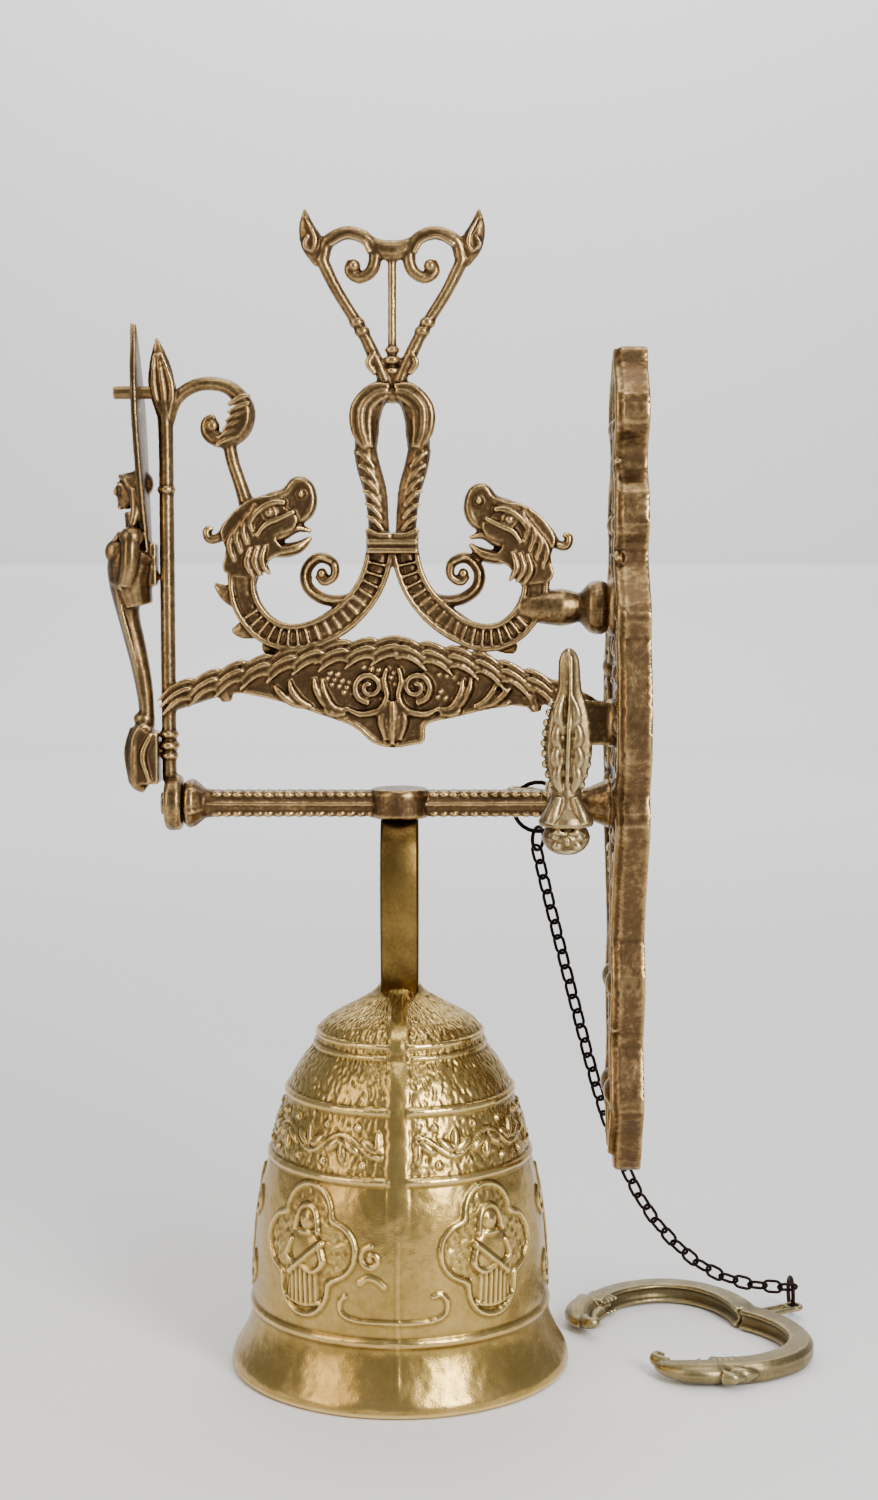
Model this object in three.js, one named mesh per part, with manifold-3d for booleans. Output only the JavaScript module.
// A sanctus bell on a wall bracket, rung by a chain. All sizes are in millimetres, and +Z is up.
// The origin is on the back face of the wall plate, at the height of the swing axis. The wall is at X = 0,
// the bracket reaches out towards -X, and the bell swings about the X axis.
import * as THREE from "three";
import { mergeVertices } from "three/addons/utils/BufferGeometryUtils.js";
import Module from "manifold-3d";

const wasm = await Module();
wasm.setup();

// ---- Driving sizes

const GAP = 0.3; // between faces that touch
const EDGE = 1.4; // bevel on the edges of the castings

const POST_REACH = 212; // wall face to the centre line of the outer post
const LYRE_REACH = 112; // wall face to the centre line of the lyre
const BELL_REACH = 109; // wall face to the axis of the bell
const LEVER_REACH = 37; // wall face to the middle of the lever

const PLATE_THICKNESS = 9;
const PLATE_TOP = 202;
const PLATE_BOTTOM = -168;
const PLATE_HALF_WIDTH = 44;
const BOSS_STAND = 4.7; // how far the plate's bosses stand out of it
const SPOOL_HEIGHT = 87.5; // swing axis to the upper fixing of the arm
const RAIL_FIXING_HEIGHT = 36; // swing axis to the lower fixing of the arm

const LYRE_TOP = 259;
const RAIL_CROWN = 68; // height of the arched rail's centre line under the lyre
const ARM_DEPTH = 11;
const POST_HALF_WIDTH = 3.6;
const POST_TOP = 205;
const EYE_RADIUS = 12.8;
const EYE_THICKNESS = 8.2;

const PIN_RADIUS = 4;
const PIN_CLEARANCE = 0.35; // between a pivot pin and its bore
const SCREW_RADIUS = 2.5;
const SCREW_HEAD_RADIUS = 4.8;
const BAR_HALF_DEPTH = 7;
const BAR_HALF_HEIGHT = 6;
const BAR_END_RADIUS = 11;
const HANGER_BOSS_RADIUS = 13.5;
const HANGER_BOSS_UNDERSIDE = -BAR_HALF_HEIGHT - 0.5;

const MOUTH_RADIUS = 77;
const BELL_DROP = 254; // swing axis to the mouth of the bell
const BELL_HEIGHT = 171; // mouth to the foot of the crown loop
const BELL_WALL = 4.5;
const LOOP_WIDTH = 17;
const LOOP_HALF_SPAN = 21;
const LOOP_BAND = 6.5;
const BOLT_RADIUS = 3;
const EYE_STEM_RADIUS = 1.8; // the stem that holds the clapper's eye in the crown

const CLAPPER_LENGTH = 124; // pivot of the clapper to the centre of its ball
const CLAPPER_BALL_RADIUS = 13;

const LINK_LENGTH = 10.4;
const LINK_WIDTH = 7.3;
const LINK_WIRE = 1.2;
const LINK_COUNT = 37;
const HANDLE_THICKNESS = 10;
const HANDLE_AXIS_TURN = Math.PI / 6; // the handle's own axis, turned from +X towards +Y

// ---- Sizes at which the outlines below are drawn; each outline is scaled from these to the driving sizes

const DRAWN_PLATE_HALF_WIDTH = 44;
const DRAWN_LYRE_TOP = 259;
const DRAWN_MOUTH_RADIUS = 77;
const DRAWN_BELL_HEIGHT = 171;

// ---- Places that follow from the sizes

const BOSS_FACE = -PLATE_THICKNESS - BOSS_STAND;
const ARM_FACE = BOSS_FACE - GAP;
const POST_X = -POST_REACH;
const LYRE_X = -LYRE_REACH;
const BELL_X = -BELL_REACH;
const LEVER_X = -LEVER_REACH;
const EYE_INNER_FACE = POST_X - 2 + EYE_THICKNESS;
const BAR_START = EYE_INNER_FACE + GAP;
const PIN_BORE = PIN_RADIUS + PIN_CLEARANCE;
const TABLE = -BELL_DROP; // the level of the bell's mouth
const CROWN = TABLE + BELL_HEIGHT;

// ---- Shapes

const X = new THREE.Vector3(1, 0, 0);
const Y = new THREE.Vector3(0, 1, 0);
const Z = new THREE.Vector3(0, 0, 1);

function solidOf(geometry) {
  const bare = geometry.clone();
  bare.deleteAttribute("normal");
  bare.deleteAttribute("uv");
  const merged = mergeVertices(bare, 1e-4);
  const vertProperties = new Float32Array(merged.attributes.position.array);
  const triVerts = new Uint32Array(merged.index.array);
  return new wasm.Manifold(new wasm.Mesh({ numProp: 3, vertProperties, triVerts }));
}

function geometryOf(solid) {
  const mesh = solid.getMesh();
  const geometry = new THREE.BufferGeometry();
  geometry.setAttribute("position", new THREE.BufferAttribute(mesh.vertProperties, 3));
  geometry.setIndex(new THREE.BufferAttribute(mesh.triVerts, 1));
  return geometry;
}

function joined(...geometries) {
  const solids = geometries.map(solidOf);
  return geometryOf(solids.reduce((whole, next) => whole.add(next)));
}

function cut(geometry, ...tools) {
  const solids = tools.map(solidOf);
  return geometryOf(solids.reduce((whole, next) => whole.subtract(next), solidOf(geometry)));
}

function common(a, b) {
  return geometryOf(solidOf(a).intersect(solidOf(b)));
}

// A closed outline through the given points, rounded between them.
function rounded(points, stepsPerPoint = 2) {
  const through = points.map(([a, b]) => new THREE.Vector3(a, b, 0));
  const curve = new THREE.CatmullRomCurve3(through, true, "centripetal");
  const round = curve.getPoints(points.length * stepsPerPoint).slice(0, -1);
  return round.map((p) => new THREE.Vector2(p.x, p.y));
}

// A flat piece cut to an outline, its thickness centred on zero and its edges bevelled.
function slab(outline, thickness, edge = EDGE) {
  return new THREE.ExtrudeGeometry(new THREE.Shape(outline), {
    depth: thickness - 2 * edge,
    bevelEnabled: edge > 0,
    bevelThickness: edge,
    bevelSize: edge,
    bevelOffset: -edge,
    bevelSegments: 1,
  }).translate(0, 0, edge - thickness / 2);
}

// The bracket's plane is XZ, and the wall plate's is YZ.
const BRACKET_PLANE = new THREE.Matrix4().makeBasis(X, Z, Y.clone().negate());
const inBracketPlane = (geometry) => geometry.applyMatrix4(BRACKET_PLANE);
const inWallPlane = (geometry) => geometry.applyMatrix4(new THREE.Matrix4().makeBasis(Y, Z, X));

// A cast bar that follows a smooth line through the given points, with a half width at each.
function castBar(points, halfWidths, thickness, edge = 0) {
  const line = new THREE.SplineCurve(points.map(([x, z]) => new THREE.Vector2(x, z)));
  const width = new THREE.SplineCurve(halfWidths.map((w, i) => new THREE.Vector2(i, w)));
  const steps = 2 * (points.length - 1);
  const left = [];
  const right = [];
  for (let i = 0; i <= steps; i++) {
    const t = i / steps;
    const tangent = line.getTangent(t);
    const aside = new THREE.Vector2(-tangent.y, tangent.x).multiplyScalar(width.getPoint(t).y);
    left.push(line.getPoint(t).add(aside));
    right.unshift(line.getPoint(t).sub(aside));
  }
  return inBracketPlane(slab([...left, ...right], thickness, edge));
}

// A round rod along one axis, from one place to another; "across" is its place on the other two axes.
function rod(axis, radius, from, to, across = [0, 0], sides = 16) {
  const geometry = new THREE.CylinderGeometry(radius, radius, Math.abs(to - from), sides);
  const middle = (from + to) / 2;
  if (axis === "x") return geometry.rotateZ(-Math.PI / 2).translate(middle, across[0], across[1]);
  if (axis === "y") return geometry.translate(across[0], middle, across[1]);
  return geometry.rotateX(Math.PI / 2).translate(across[0], across[1], middle);
}

// A turned solid about the X axis or the Z axis, from its [radius, place] points.
function turned(axis, profile, sides = 20) {
  const points = profile.map(([r, along]) => new THREE.Vector2(r, along));
  const geometry = new THREE.LatheGeometry(points, sides);
  return axis === "x" ? geometry.rotateZ(-Math.PI / 2) : geometry.rotateX(Math.PI / 2);
}

function ball(radius, x, y, z, squash = [1, 1, 1]) {
  return new THREE.SphereGeometry(radius, 8, 6).scale(...squash).translate(x, y, z);
}

function box(x0, x1, y0, y1, z0, z1) {
  const geometry = new THREE.BoxGeometry(x1 - x0, y1 - y0, z1 - z0);
  return geometry.translate((x0 + x1) / 2, (y0 + y1) / 2, (z0 + z1) / 2);
}

// A ring of round wire that lies in the bracket's plane, turned about Z.
function wireRing(radius, wire, x, y, z, turn = 0, sides = 20) {
  const geometry = new THREE.TorusGeometry(radius, wire, 6, sides).rotateX(Math.PI / 2);
  return geometry.rotateZ(turn).translate(x, y, z);
}

// ---- Materials

function metal(color, roughness) {
  return new THREE.MeshStandardMaterial({ color, roughness, metalness: 1 });
}

const AGED_BRASS = () => metal(0x8a6a3c, 0.42);
const BELL_BRASS = () => metal(0xc9a95c, 0.32);
const OLIVE_BRASS = () => metal(0x7c6f4c, 0.45);
const DARK_IRON = () => metal(0x33261f, 0.5);

const bell_on_bracket = new THREE.Group();

function add(name, geometry, material) {
  const mesh = new THREE.Mesh(geometry, material);
  mesh.name = name;
  bell_on_bracket.add(mesh);
}

// ---- Wall plate: a tall scrolled casting with a flat back, three bosses and three fixing holes

const FIXING_HOLE_RADIUS = 2.6;
const FIXING_HOLE_HEIGHTS = [176, -60, -146];

function wallPlateOutline() {
  const w = PLATE_HALF_WIDTH / DRAWN_PLATE_HALF_WIDTH;
  const half = [
    [5, PLATE_TOP - 1], [9, 192], [20, 180], [21, 168], [12, 158], [11, 148], [20, 138], [23, 124],
    [17, 112], [26, 98], [36, 86], [34, 74], [41, 58], [44, 40], [43, 22], [35, 8], [38, -6],
    [29, -24], [20, -42], [14, -60], [20, -76], [18, -92], [12, -108], [18, -124], [20, -136],
    [12, -148], [8, -158],
  ];
  const near = half.map(([y, z]) => [-y * w, z]);
  const far = half.map(([y, z]) => [y * w, z]).reverse();
  return rounded([[0, PLATE_TOP], ...near, [0, PLATE_BOTTOM], ...far], 1);
}

function boss(radius, height) {
  return rod("x", radius, BOSS_FACE, -PLATE_THICKNESS / 2, [0, height], 24);
}

function screwHole(height) {
  const shank = rod("x", SCREW_RADIUS + GAP, BOSS_FACE - 1, 1, [0, height]);
  const head = rod("x", SCREW_HEAD_RADIUS + GAP, -4, 1, [0, height]);
  return joined(shank, head);
}

function wallPlate() {
  const flat = slab(wallPlateOutline(), PLATE_THICKNESS, 1);
  const plate = inWallPlane(flat).translate(-PLATE_THICKNESS / 2, 0, 0);
  const front = -PLATE_THICKNESS;
  const knobs = [
    [166, 9, 5.5], [108, 14, 6], [60, 28, 6], [-80, 8, 8], [-129, 8, 8.5],
  ];
  const relief = knobs.flatMap(([z, y, r]) => [ball(r, front, -y, z), ball(r, front, y, z)]);
  const ribOutline = rounded([
    [0, 190], [-5, 120], [-6, 60], [-4, -60], [0, -160], [4, -60], [6, 60], [5, 120],
  ]);
  const rib = inWallPlane(slab(ribOutline, 4, 1)).translate(front, 0, 0);
  const bosses = [
    boss(EYE_RADIUS, SPOOL_HEIGHT), boss(BAR_END_RADIUS, RAIL_FIXING_HEIGHT), boss(BAR_END_RADIUS, 0),
  ];
  const whole = joined(plate, rib, ...relief, ...bosses);
  const fixing = FIXING_HOLE_HEIGHTS.map((z) => rod("x", FIXING_HOLE_RADIUS, -40, 1, [0, z]));
  const pivot = rod("x", PIN_BORE, BOSS_FACE - 1, -PLATE_THICKNESS / 2, [0, 0]);
  return cut(whole, ...fixing, pivot, screwHole(SPOOL_HEIGHT), screwHole(RAIL_FIXING_HEIGHT));
}

add("wall_plate", wallPlate(), AGED_BRASS());

function armScrew(height, end) {
  return joined(
    rod("x", SCREW_HEAD_RADIUS, -3.7, -0.5, [0, height]),
    rod("x", SCREW_RADIUS, end, -2, [0, height], 12),
  );
}

const UPPER_SCREW_END = ARM_FACE - 20;
const LOWER_SCREW_END = ARM_FACE - 8;
add("arm_screw_upper", armScrew(SPOOL_HEIGHT, UPPER_SCREW_END), AGED_BRASS());
add("arm_screw_lower", armScrew(RAIL_FIXING_HEIGHT, LOWER_SCREW_END), AGED_BRASS());

// ---- Bracket arm: one openwork casting in the XZ plane

// side is -1 towards the post and +1 towards the wall; u is the distance from the lyre's centre line.
const across = (side, points) => points.map(([u, z]) => [LYRE_X + side * u, z]);

function lyreSide(side) {
  const top = LYRE_TOP - DRAWN_LYRE_TOP;
  const leaf = [[38, 260], [37.5, 253], [34.5, 244], [31, 237]].map(([u, z]) => [u, z + top]);
  const arm = [[31, 239], [24, 225], [14, 210], [9, 199], [3, 187]];
  const curl = [[31, 243], [27, 249], [19, 251], [11, 248.5], [7, 241], [9, 233.5], [14.5, 230.5]];
  const knot = [[12, 152], [14.5, 166], [9.5, 177], [-2, 181]];
  const leg = [[13, 162], [11, 151], [7, 140], [5.8, 129], [5.2, 110]];
  return [
    castBar(across(side, leaf), [0.8, 4.4, 5.8, 3.2], 7),
    castBar(across(side, arm), [3.3, 3.2, 3.3, 3.4, 4], 8),
    ball(4.8, LYRE_X + side * 13.5, 0, 210),
    castBar(across(side, curl), [3.2, 3.4, 3.4, 3.4, 3.4, 3.2, 2.6], 8),
    ball(3.6, LYRE_X + side * 15.5, 0, 234),
    castBar(across(side, knot), [5.5, 6.5, 7.5, 8], 13),
    castBar(across(side, leg), [4, 5.6, 5.8, 5, 5], 10),
  ];
}

function lyreMiddle() {
  return [
    castBar([[LYRE_X - 10, 244], [LYRE_X, 242.5], [LYRE_X + 10, 244]], [5.2, 4.6, 5.2], 7),
    castBar([[LYRE_X, 242], [LYRE_X, 218], [LYRE_X, 190]], [2.4, 2.4, 2.4], 5),
    ball(4.2, LYRE_X, 0, 197),
    box(LYRE_X - 10.8, LYRE_X + 10.8, -6.6, 6.6, 112, 121),
  ];
}

// The leg of the lyre sweeps out, becomes the beast's body and rises to its neck.
function beast(side, reach, drop) {
  const body = [
    [5, 114], [9, 100], [16.5, 87], [27, 78], [40, 73], [52, 74], [62, 82], [68, 95], [66, 108 - drop],
  ];
  const head = [
    [75, 103], [74, 113], [79, 118], [77.5, 123], [72, 121], [68, 128], [63, 134], [56, 137], [49, 136.5],
    [45, 140], [41, 143.5], [36.5, 140], [35.5, 132], [39, 125], [45, 123], [36.5, 120.5], [37, 116.5],
    [43, 111.5], [51, 110], [57, 106], [60, 99],
  ];
  const scaled = (points, fall) => across(side, points.map(([u, z]) => [u > 30 ? u * reach : u, z - fall]));
  const volute = [[18, 93], [25, 91.5], [33, 93.5], [37.5, 100], [34.5, 107], [28.5, 105.5]];
  return [
    castBar(scaled(body, 0), [4.5, 5.5, 6.5, 6.2, 5.5, 5.5, 5.6, 6, 9], ARM_DEPTH, EDGE),
    inBracketPlane(slab(rounded(scaled(head, drop), 1), 12.5, 1)),
    castBar(across(side, volute), [2.8, 3, 3, 2.8, 2.6, 2.2], 8),
    ball(3.4, LYRE_X + side * 31, 0, 101.5),
  ];
}

function rail() {
  const arch = [
    [POST_X, 46], [LYRE_X - 71, 56], [LYRE_X - 38, 64.5], [LYRE_X, RAIL_CROWN], [LYRE_X + 37, 61.5],
    [LYRE_X + 67, 51], [ARM_FACE, RAIL_FIXING_HEIGHT],
  ];
  const web = [
    [-78, 52], [-74, 43.5], [-68, 48.5], [-52, 46], [-33, 40], [-16, 34], [-8, 27], [0, 24.5],
    [10, 26], [14, 34], [28, 37.5], [40, 41], [52, 43], [62, 37.5], [66, 46], [40, 60], [0, 66],
    [-40, 62],
  ];
  const outline = web.map(([u, z]) => [LYRE_X + u, z]);
  return [
    castBar(arch, [5.5, 6, 6, 5.5, 6, 6, 7], 12.5, EDGE),
    inBracketPlane(slab(rounded(outline, 1), 5, 0)),
    box(ARM_FACE - 12, ARM_FACE, -7.5, 7.5, RAIL_FIXING_HEIGHT - 9, RAIL_FIXING_HEIGHT + 8),
  ];
}

function spool() {
  const neck = LYRE_X + 62;
  const profile = [
    [0, neck], [7, neck], [8.2, neck + 10], [7, neck + 19], [6, ARM_FACE - 12], [9, ARM_FACE - 9],
    [EYE_RADIUS - 0.5, ARM_FACE - 7], [EYE_RADIUS - 0.5, ARM_FACE - 2], [10, ARM_FACE], [0, ARM_FACE],
  ];
  return turned("x", profile).translate(0, 0, SPOOL_HEIGHT);
}

function post() {
  const w = POST_HALF_WIDTH;
  const line = [
    [POST_X, 18], [POST_X, 60], [POST_X, 120], [POST_X, 160], [POST_X - 1, 184], [POST_X - 3, POST_TOP],
  ];
  const scroll = [
    [POST_X, 168], [POST_X + 5, 180], [POST_X + 16, 185.5], [POST_X + 28, 183.5], [POST_X + 34.5, 174],
    [POST_X + 31, 164], [POST_X + 22, 162.5],
  ];
  const strut = [[POST_X + 28, 161], [POST_X + 31, 148], [LYRE_X - 64, 128]];
  return [
    castBar(line, [w, w, w, w, 6.2, 1.2], 9),
    castBar(scroll, [3.2, 3.3, 3.4, 3.6, 5, 5, 4], 8),
    ball(5.2, POST_X + 20, 0, 167),
    castBar(strut, [3.2, 3.2, 4], 7),
    ball(4.6, POST_X, 0, 27, [0.75, 1, 1]),
    rod("x", EYE_RADIUS, POST_X - 2, EYE_INNER_FACE, [0, 0.5], 28),
    rod("z", POST_HALF_WIDTH + 0.5, 8, 24, [POST_X + 1, 0]),
  ];
}

const PEG_HEIGHT = 182;
const PEG_RADIUS = 2.9;
const PEG_END = POST_X + 1;
const RIVET_HEIGHT = 24;
const RIVET_RADIUS = 2.2;
const RIVET_END = POST_X + 2.6;

function bracketArm() {
  const whole = joined(
    ...lyreSide(-1), ...lyreSide(1), ...lyreMiddle(), ...beast(-1, 1, 0), ...beast(1, 0.95, 3),
    ...rail(), spool(), ...post(),
  );
  return cut(
    whole,
    rod("x", PIN_BORE, POST_X - 8, EYE_INNER_FACE + 1, [0, 0]),
    rod("x", PEG_RADIUS + GAP, POST_X - 14, PEG_END + GAP, [0, PEG_HEIGHT]),
    rod("x", RIVET_RADIUS + GAP, POST_X - 14, RIVET_END + GAP, [0, RIVET_HEIGHT], 12),
    rod("x", SCREW_RADIUS + GAP, UPPER_SCREW_END - GAP, ARM_FACE + 1, [0, SPOOL_HEIGHT]),
    rod("x", SCREW_RADIUS + GAP, LOWER_SCREW_END - GAP, ARM_FACE + 1, [0, RAIL_FIXING_HEIGHT]),
    box(ARM_FACE, ARM_FACE + 20, -20, 20, 0, 110),
  );
}

add("bracket_arm", bracketArm(), AGED_BRASS());

// ---- End figure: a draped figure under a leaf, pinned to the outside of the post

const FIGURE_BACK = POST_X - POST_HALF_WIDTH - 0.4;

function endFigure() {
  const side = [
    [-5, 36], [-2.5, 44], [-6, 56], [-6.5, 80], [-4, 100], [-3, 118], [-6, 128], [-6, 158],
    [-11, 160], [-16, 155], [-17, 144], [-14, 133], [-13, 127], [-19, 121], [-24, 112], [-22.5, 102],
    [-18, 88], [-15, 72], [-11, 58], [-8.5, 44], [-9, 36],
  ].map(([x, z]) => [FIGURE_BACK + x, z]);
  const front = [
    [5, 34], [4, 44], [7, 56], [11, 72], [10, 88], [13, 104], [17, 116], [13, 124], [5, 128],
    [7, 138], [7.5, 150], [4, 160],
  ];
  const outline = [...front, ...front.map(([y, z]) => [-y, z]).reverse()];
  const body = common(
    inBracketPlane(slab(rounded(side), 50, 0)),
    inWallPlane(slab(rounded(outline), 60, 0)).translate(FIGURE_BACK - 10, 0, 0),
  );
  const leaf = [
    [0, 213], [-5, 204], [-13, 190], [-17, 172], [-15, 154], [-12, 136], [-7, 112], [0, 104],
    [7, 112], [12, 136], [15, 154], [17, 172], [13, 190], [5, 204],
  ];
  const lean = -0.05;
  const canopy = inWallPlane(slab(rounded(leaf), 3.6, 0.8))
    .translate(0, 0, -110)
    .rotateY(lean)
    .translate(FIGURE_BACK - 4, 0, 110);
  const foot = slab(rounded([[-1, 7], [-1, 33], [-6, 38], [-11, 34], [-13, 24], [-12, 9], [-7, 5]]), 16, 1.5);
  const whole = joined(
    body,
    canopy,
    inBracketPlane(foot).translate(FIGURE_BACK + 0.6, 0, 0),
    box(FIGURE_BACK - 8, FIGURE_BACK, -5, 5, 97, 116),
    box(FIGURE_BACK - 7, FIGURE_BACK, -4, 4, 18, 31),
  );
  return cut(
    whole,
    rod("x", PEG_RADIUS + GAP, FIGURE_BACK - 30, FIGURE_BACK + 1, [0, PEG_HEIGHT]),
    rod("x", RIVET_RADIUS + GAP, FIGURE_BACK - 30, FIGURE_BACK + 1, [0, RIVET_HEIGHT], 12),
    box(FIGURE_BACK, FIGURE_BACK + 30, -40, 40, -20, 240),
  );
}

add("end_figure", endFigure(), AGED_BRASS());
add("figure_peg", rod("x", PEG_RADIUS, FIGURE_BACK - 19, PEG_END, [0, PEG_HEIGHT]), AGED_BRASS());

const RIVET_SEAT = FIGURE_BACK - 12.7;
const rivetHead = turned("x", [[0, RIVET_SEAT - 2], [2.4, RIVET_SEAT - 1.7], [3.8, RIVET_SEAT - 0.3],
  [3.8, RIVET_SEAT], [0, RIVET_SEAT]], 16).translate(0, 0, RIVET_HEIGHT);
const rivetShank = rod("x", RIVET_RADIUS, RIVET_SEAT - 1, RIVET_END, [0, RIVET_HEIGHT], 12);
add("figure_rivet", joined(rivetHead, rivetShank), AGED_BRASS());

// ---- Swing bar, between the eye of the post and the lowest boss of the plate, on two pins

const OUTER_PIN_END = BAR_START + 12;
const WALL_PIN_END = ARM_FACE - 12;

add(
  "pivot_pin_outer",
  joined(
    rod("x", PIN_RADIUS, POST_X - 2.5, OUTER_PIN_END),
    rod("x", PIN_RADIUS + 1.2, POST_X - 2 - GAP - 1.4, POST_X - 2 - GAP),
  ),
  AGED_BRASS(),
);
add("pivot_pin_wall", rod("x", PIN_RADIUS, WALL_PIN_END, -PLATE_THICKNESS / 2 - GAP), AGED_BRASS());

function swingBar() {
  const flare = (start, direction) => turned("x", direction > 0
    ? [[0, start], [BAR_END_RADIUS - 1, start], [BAR_END_RADIUS, start + 2], [BAR_END_RADIUS - 1, start + 5],
      [7, start + 9], [6.5, start + 14], [0, start + 14]]
    : [[0, start - 14], [7, start - 14], [8, start - 10], [BAR_END_RADIUS, start - 3], [BAR_END_RADIUS, start],
      [0, start]], 24);
  const stem = new THREE.CylinderGeometry(1, 1, ARM_FACE - BAR_START - 10, 8, 8)
    .rotateY(Math.PI / 8)
    .rotateZ(-Math.PI / 2)
    .scale(1, BAR_HALF_DEPTH / Math.cos(Math.PI / 8), BAR_HALF_HEIGHT / Math.cos(Math.PI / 8))
    .translate((ARM_FACE + BAR_START) / 2, 0, 0);
  const hanger = rod("z", HANGER_BOSS_RADIUS, HANGER_BOSS_UNDERSIDE, BAR_HALF_HEIGHT + 1, [BELL_X, 0], 24);
  return cut(
    joined(stem, flare(BAR_START, 1), flare(ARM_FACE, -1), hanger),
    rod("x", PIN_BORE, BAR_START - 1, OUTER_PIN_END + GAP),
    rod("x", PIN_BORE, WALL_PIN_END - GAP, ARM_FACE + 1),
    rod("z", BOLT_RADIUS + GAP, HANGER_BOSS_UNDERSIDE - 1, 3.5, [BELL_X, 0]),
    rod("z", RIVET_RADIUS + GAP, -20, 20, [LEVER_X, 0], 12),
  );
}

add("swing_bar", swingBar(), AGED_BRASS());

// ---- Lever: a collar pinned on the bar, with a leaf in front of it and the chain's eye behind it

const COLLAR_RADIUS = 10.5;
const COLLAR_HALF_LENGTH = 7;
const COLLAR_BORE = BAR_HALF_DEPTH / Math.cos(Math.PI / 8) + GAP;
const LEAF_Y = -45;
const CHAIN_EYE = new THREE.Vector3(LEVER_X - 16.3, 38, 2);
const CHAIN_EYE_RADIUS = 7;
const CHAIN_EYE_HOLE = 3.5;

function lever() {
  const leafOutline = [
    [2, 71], [5, 66], [5.5, 55], [9.5, 40], [10, 26], [7, 12], [-7, 12], [-10.5, 26], [-9.5, 40],
    [-3.5, 55], [-3, 66],
  ];
  const leaf = rounded(leafOutline.map(([x, z]) => [LEVER_X + x, z]));
  const skirtLine = [
    [0, -17], [5, -17], [9, -14], [10.8, -10], [9.5, -5.5], [12, -4.5], [12.2, -2.5], [8, 4],
    [6.5, 12], [0, 14],
  ];
  const skirt = turned("z", skirtLine).translate(LEVER_X, LEAF_Y, 0);
  const eyeArm = new THREE.Shape();
  eyeArm.moveTo(LEVER_X - 5.5, 6);
  eyeArm.lineTo(LEVER_X + 4, 6);
  eyeArm.lineTo(CHAIN_EYE.x + 6.4, CHAIN_EYE.y - 3);
  eyeArm.absarc(CHAIN_EYE.x, CHAIN_EYE.y, CHAIN_EYE_RADIUS, -0.4, Math.PI - 0.2, false);
  const tab = slab(eyeArm.getPoints(8), 3, 0.5).translate(0, 0, CHAIN_EYE.z);
  const whole = joined(
    inBracketPlane(slab(leaf, 9, 2)).translate(0, LEAF_Y, 0),
    skirt,
    rod("y", 4.8, LEAF_Y, -4, [LEVER_X, 0]),
    rod("x", COLLAR_RADIUS, LEVER_X - COLLAR_HALF_LENGTH, LEVER_X + COLLAR_HALF_LENGTH, [0, 0], 24),
    tab,
  );
  return cut(
    whole,
    rod("x", COLLAR_BORE, LEVER_X - 20, LEVER_X + 20, [0, 0], 24),
    rod("z", RIVET_RADIUS + GAP, -20, 20, [LEVER_X, 0], 12),
    rod("z", CHAIN_EYE_HOLE, -5, 8, [CHAIN_EYE.x, CHAIN_EYE.y], 14),
  );
}

add("pull_lever", lever(), AGED_BRASS());
add("lever_rivet", rod("z", RIVET_RADIUS, -COLLAR_RADIUS, COLLAR_RADIUS, [LEVER_X, 0], 12), AGED_BRASS());

// ---- Bell: the cup, its rings and the crown loop are one casting

const LOOP_TOP = HANGER_BOSS_UNDERSIDE - GAP;
const LOOP_UNDERSIDE = LOOP_TOP - LOOP_BAND;

// The line of a wall's inner face, one wall thickness inside its outer face.
function innerFace(outer, wall) {
  return outer.map(([r, z], i) => {
    const [r0, z0] = outer[Math.max(i - 1, 0)];
    const [r1, z1] = outer[Math.min(i + 1, outer.length - 1)];
    const length = Math.hypot(r1 - r0, z1 - z0);
    return [r - (wall * (z1 - z0)) / length, z + (wall * (r1 - r0)) / length];
  });
}

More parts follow.
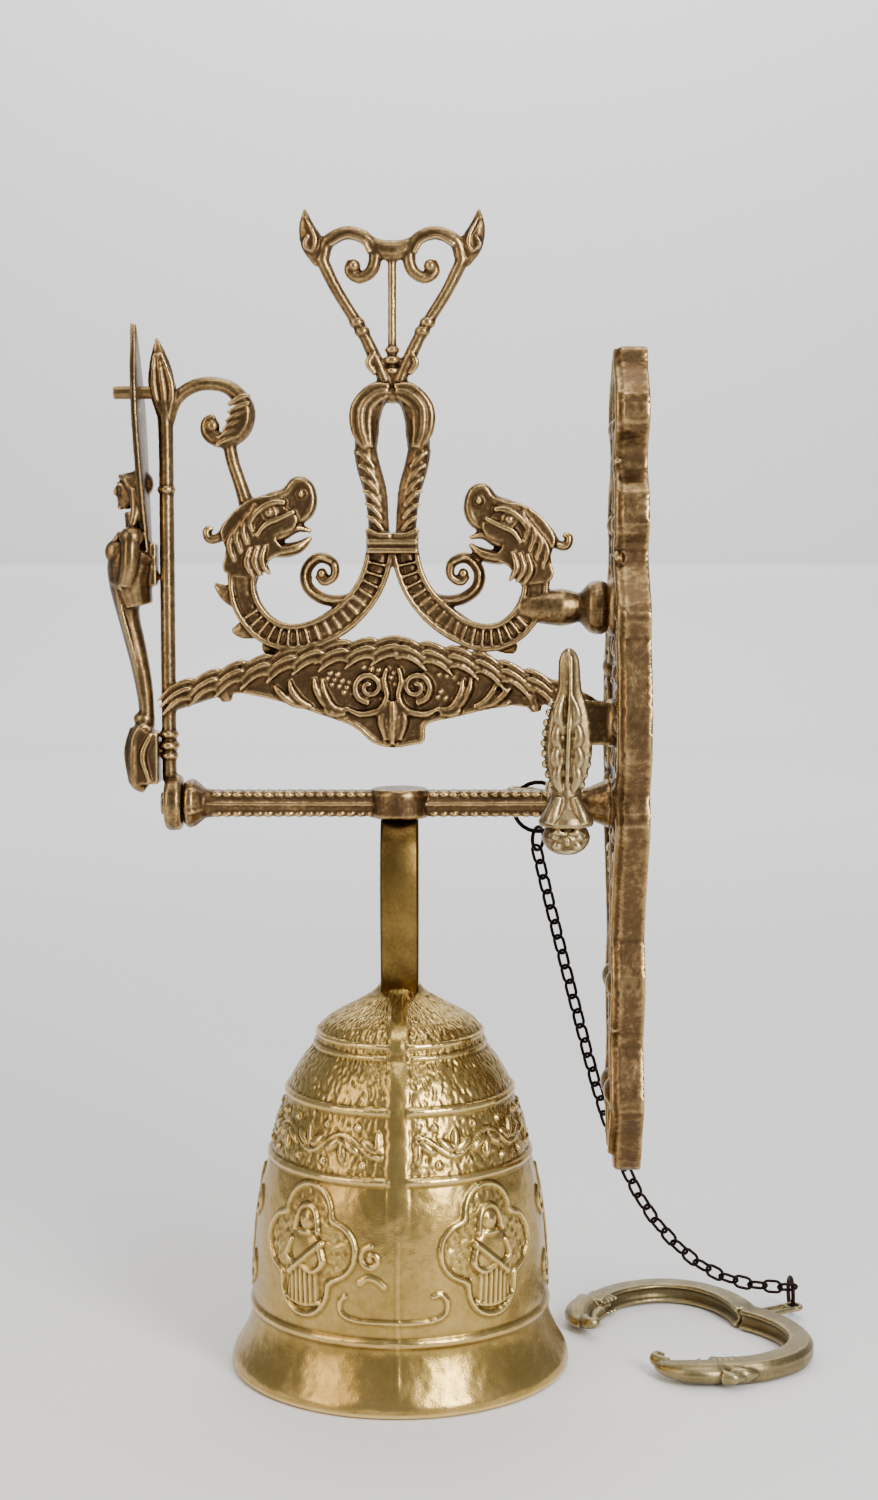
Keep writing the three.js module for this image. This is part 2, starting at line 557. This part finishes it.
function bell() {
  const m = MOUTH_RADIUS / DRAWN_MOUTH_RADIUS;
  const h = BELL_HEIGHT / DRAWN_BELL_HEIGHT;
  const sized = (points) => points.map(([r, z]) => [r * m, z * h]);
  const waist = sized([
    [77, 0], [76.6, 4], [72.5, 10.5], [69.3, 18], [66.8, 29], [66.4, 44], [65.4, 60], [62.9, 78], [58.4, 96],
    [55.4, 110], [49.2, 128], [38.8, 150], [31, 158], [18, 164.5],
  ]);
  const ringed = sized([
    [76, 0], [77, 1.5], [76.6, 4], [72.5, 10.5], [69.3, 18], [67.4, 24], [69, 25.5], [68.6, 28.5], [66.8, 29.5],
    [66.4, 44], [65.4, 60], [62.9, 78], [59.6, 92], [61, 94], [58.4, 97.5], [55.4, 110], [51.2, 123],
    [52.2, 125.5], [49.2, 128.5], [41.6, 142], [42.2, 145], [38.8, 150], [31, 158], [20, 164], [11, 168],
  ]);
  const inside = [[0, BELL_HEIGHT - 8], ...innerFace(waist, BELL_WALL).reverse()];
  const profile = [...inside, ...ringed, [LOOP_WIDTH / 2, BELL_HEIGHT], [0, BELL_HEIGHT]];
  const cup = turned("z", profile, 32).translate(BELL_X, 0, TABLE);
  const s = LOOP_HALF_SPAN;
  const foot = CROWN - 4;
  const outer = rounded([
    [-8, LOOP_TOP], [8, LOOP_TOP], [s - 2, LOOP_TOP - 12], [s, LOOP_TOP - 34], [s - 6, foot + 12],
    [10, foot], [-10, foot], [6 - s, foot + 12], [-s, LOOP_TOP - 34], [2 - s, LOOP_TOP - 12],
  ]);
  const b = LOOP_BAND;
  const inner = rounded([
    [-7, LOOP_UNDERSIDE], [7, LOOP_UNDERSIDE], [s - b - 1, LOOP_UNDERSIDE - 9], [s - b, LOOP_TOP - 34],
    [s - b - 6, foot + 14], [0, foot + 8], [6 + b - s, foot + 14], [b - s, LOOP_TOP - 34],
    [1 + b - s, LOOP_UNDERSIDE - 9],
  ]);
  const band = cut(slab(outer, LOOP_WIDTH, 1), slab(inner, LOOP_WIDTH + 2, 0));
  const loop = inWallPlane(band).translate(BELL_X, 0, 0);
  return cut(
    joined(cup, loop),
    rod("z", BOLT_RADIUS + GAP, LOOP_UNDERSIDE - 2, 0, [BELL_X, 0]),
    rod("z", EYE_STEM_RADIUS + GAP, TABLE + 140, CROWN + 10, [BELL_X, 0], 12),
    box(BELL_X - 20, BELL_X + 20, -30, 30, LOOP_TOP, 10),
  );
}

add("bell", bell(), BELL_BRASS());

const WASHER_THICKNESS = 1.2;
const WASHER_RADIUS = 6.4;
const WASHER_TOP = LOOP_UNDERSIDE - GAP;
const WASHER_UNDERSIDE = WASHER_TOP - WASHER_THICKNESS;
const HEAD_TOP = WASHER_UNDERSIDE - GAP;
const HEAD_HEIGHT = 4;
const HEAD_RADIUS = 5.6;
const washerDisc = rod("z", WASHER_RADIUS, WASHER_UNDERSIDE, WASHER_TOP, [BELL_X, 0], 20);
const washerHole = rod("z", BOLT_RADIUS + GAP, LOOP_UNDERSIDE - 5, 0, [BELL_X, 0], 16);
add("hanger_washer", cut(washerDisc, washerHole), AGED_BRASS());
add(
  "hanger_bolt",
  joined(
    rod("z", HEAD_RADIUS, HEAD_TOP - HEAD_HEIGHT, HEAD_TOP, [BELL_X, 0], 6),
    rod("z", BOLT_RADIUS, HEAD_TOP - 1, 3, [BELL_X, 0]),
  ),
  AGED_BRASS(),
);

// ---- Clapper: an eye screwed into the crown, a rod hooked in it, and a ball

const EYE_RING = 5;
const EYE_WIRE = 1.4;
const CLAPPER_PIVOT = CROWN - 21;
const ROD_RING = 4.5;
const ROD_WIRE = 1.3;

add(
  "clapper_eye",
  joined(
    wireRing(EYE_RING, EYE_WIRE, BELL_X, 0, CLAPPER_PIVOT + EYE_RING),
    rod("z", EYE_STEM_RADIUS, CLAPPER_PIVOT + 2 * EYE_RING, CROWN + 1, [BELL_X, 0], 12),
    rod("z", 3, CROWN + 5.5, CROWN + 8, [BELL_X, 0], 6),
    rod("z", EYE_STEM_RADIUS, CROWN, CROWN + 7, [BELL_X, 0], 12),
  ),
  DARK_IRON(),
);

const ROD_RING_TOP = CLAPPER_PIVOT + EYE_WIRE + ROD_WIRE + 0.2;
const ROD_RING_CENTRE = ROD_RING_TOP - ROD_RING;
const BALL_CENTRE = CLAPPER_PIVOT - CLAPPER_LENGTH;
const SHANK_END = BALL_CENTRE + CLAPPER_BALL_RADIUS - 6;

add(
  "clapper_rod",
  joined(
    wireRing(ROD_RING, ROD_WIRE, BELL_X, 0, ROD_RING_CENTRE, Math.PI / 2),
    rod("z", 2.4, SHANK_END, ROD_RING_CENTRE - ROD_RING + 0.5, [BELL_X, 0], 12),
  ),
  DARK_IRON(),
);

const clapperBall = new THREE.SphereGeometry(CLAPPER_BALL_RADIUS, 16, 10).translate(BELL_X, 0, BALL_CENTRE);
const clapperBore = rod("z", 2.4 + GAP, SHANK_END - GAP, BALL_CENTRE + 40, [BELL_X, 0], 12);
add("clapper_ball", cut(clapperBall, clapperBore), DARK_IRON());

// ---- Chain: a large ring in the lever's eye, a small ring, and alternating links down to the handle

const LEVER_RING_RADIUS = 11.5;
const LEVER_RING_WIRE = 1;
const LEVER_RING_CENTRE = new THREE.Vector3(LEVER_X - 8.3, CHAIN_EYE.y, -6);
const CHAIN_RING_RADIUS = 5.4;
const CHAIN_RING_WIRE = 0.9;
const CHAIN_RING_Z = LEVER_RING_CENTRE.z - LEVER_RING_RADIUS + 2.1 - CHAIN_RING_RADIUS;

add(
  "lever_ring",
  wireRing(LEVER_RING_RADIUS, LEVER_RING_WIRE, ...LEVER_RING_CENTRE.toArray(), 0, 28),
  DARK_IRON(),
);
add(
  "chain_ring",
  wireRing(CHAIN_RING_RADIUS, CHAIN_RING_WIRE, LEVER_RING_CENTRE.x, CHAIN_EYE.y, CHAIN_RING_Z, 1.05),
  DARK_IRON(),
);

// The middles of the links lie on this line, which hangs from the lever and comes to rest on the handle.
const CHAIN_ROUTE = [
  [-45.3, 38, -28.2], [-41, 38.5, -46], [-37, 39, -62], [-33, 39.5, -78], [-28.8, 40, -94.5],
  [-24.5, 41, -111], [-20.2, 42, -127.5], [-15.6, 43, -144], [-10.4, 44, -160], [-4.5, 45, -175.5],
  [2.2, 46, -190], [10.3, 47, -203.5], [20, 48, -215.5], [31, 49, -225.8], [43.5, 50.5, -233.6],
  [56.5, 51.5, -238], [68, 52.3, -239.8], [76.4, 52.8, -240.3],
];

function linkShape() {
  const straight = (LINK_LENGTH - LINK_WIDTH) / 2;
  const stadium = (radius, path) => {
    path.absarc(straight, 0, radius, -Math.PI / 2, Math.PI / 2, false);
    path.absarc(-straight, 0, radius, Math.PI / 2, 1.5 * Math.PI, false);
    return path;
  };
  const shape = stadium(LINK_WIDTH / 2, new THREE.Shape());
  shape.holes.push(stadium(LINK_WIDTH / 2 - LINK_WIRE, new THREE.Path()));
  const extrude = { depth: LINK_WIRE, bevelEnabled: false, curveSegments: 2 };
  return new THREE.ExtrudeGeometry(shape, extrude).translate(0, 0, -LINK_WIRE / 2);
}

function addChain() {
  const points = CHAIN_ROUTE.map((p) => new THREE.Vector3(...p));
  const route = new THREE.CatmullRomCurve3(points, false, "centripetal");
  const link = linkShape();
  for (let i = 0; i < LINK_COUNT; i++) {
    const t = i / (LINK_COUNT - 1);
    const along = route.getTangentAt(t);
    const level = new THREE.Vector3().crossVectors(Y, along).normalize();
    const roll = i % 2 === 0 ? Math.PI / 4 : -Math.PI / 4;
    const wide = level.applyAxisAngle(along, roll);
    const thin = new THREE.Vector3().crossVectors(along, wide);
    const placed = link.clone().applyMatrix4(new THREE.Matrix4().makeBasis(along, wide, thin));
    const middle = route.getPointAt(t);
    placed.translate(middle.x, middle.y, middle.z);
    add("link_" + String(i + 1).padStart(2, "0"), placed, DARK_IRON());
  }
}

addChain();

// ---- Pull handle: two curved arms that meet in a point, each ending in a beast's head, lying on its side

const PULL_EYE = new THREE.Vector3(78.9, 51, TABLE + HANDLE_THICKNESS / 2);
const PULL_EYE_TO_POINT = 28;
const PULL_RING_RADIUS = 7.5;
const PULL_RING_WIRE = 1;

function handleSide(side) {
  const arm = [[0, 0], [3, 11], [3.5, 26], [-2, 42], [-15, 53], [-34, 56], [-50, 51], [-60, 42]];
  const head = [
    [-48, 58], [-58, 58], [-67, 53], [-74, 44], [-77, 35], [-76, 28], [-72, 24], [-66, 27], [-67, 34], [-60, 31],
    [-52, 36], [-51, 45],
  ];
  const flat = ([p, q]) => [p, side * q];
  const lay = (geometry) => geometry.rotateX(-Math.PI / 2);
  return [
    lay(castBar(arm.map(flat), [7, 6.5, 6, 6, 6, 6, 6, 7], HANDLE_THICKNESS, 2)),
    slab(rounded(head.map(flat)), HANDLE_THICKNESS, 1.5),
  ];
}

function handle() {
  const tab = new THREE.Shape();
  tab.moveTo(-2, -5);
  tab.lineTo(PULL_EYE_TO_POINT, -5);
  tab.absarc(PULL_EYE_TO_POINT, 0, 5, -Math.PI / 2, Math.PI / 2, false);
  tab.lineTo(-2, 5);
  const whole = joined(
    ...handleSide(-1),
    ...handleSide(1),
    slab(tab.getPoints(6), 3, 0.5).translate(0, 0, HANDLE_THICKNESS / 2 - 1.5),
  );
  return cut(whole, rod("z", 2.6, -30, 30, [PULL_EYE_TO_POINT, 0], 14))
    .translate(-PULL_EYE_TO_POINT, 0, 0)
    .rotateZ(HANDLE_AXIS_TURN)
    .translate(...PULL_EYE.toArray());
}

add("pull_handle", handle(), OLIVE_BRASS());
add(
  "pull_ring",
  wireRing(PULL_RING_RADIUS, PULL_RING_WIRE, PULL_EYE.x, PULL_EYE.y + PULL_RING_RADIUS, TABLE + 8.8, Math.PI / 2, 20),
  DARK_IRON(),
);

export default bell_on_bracket;
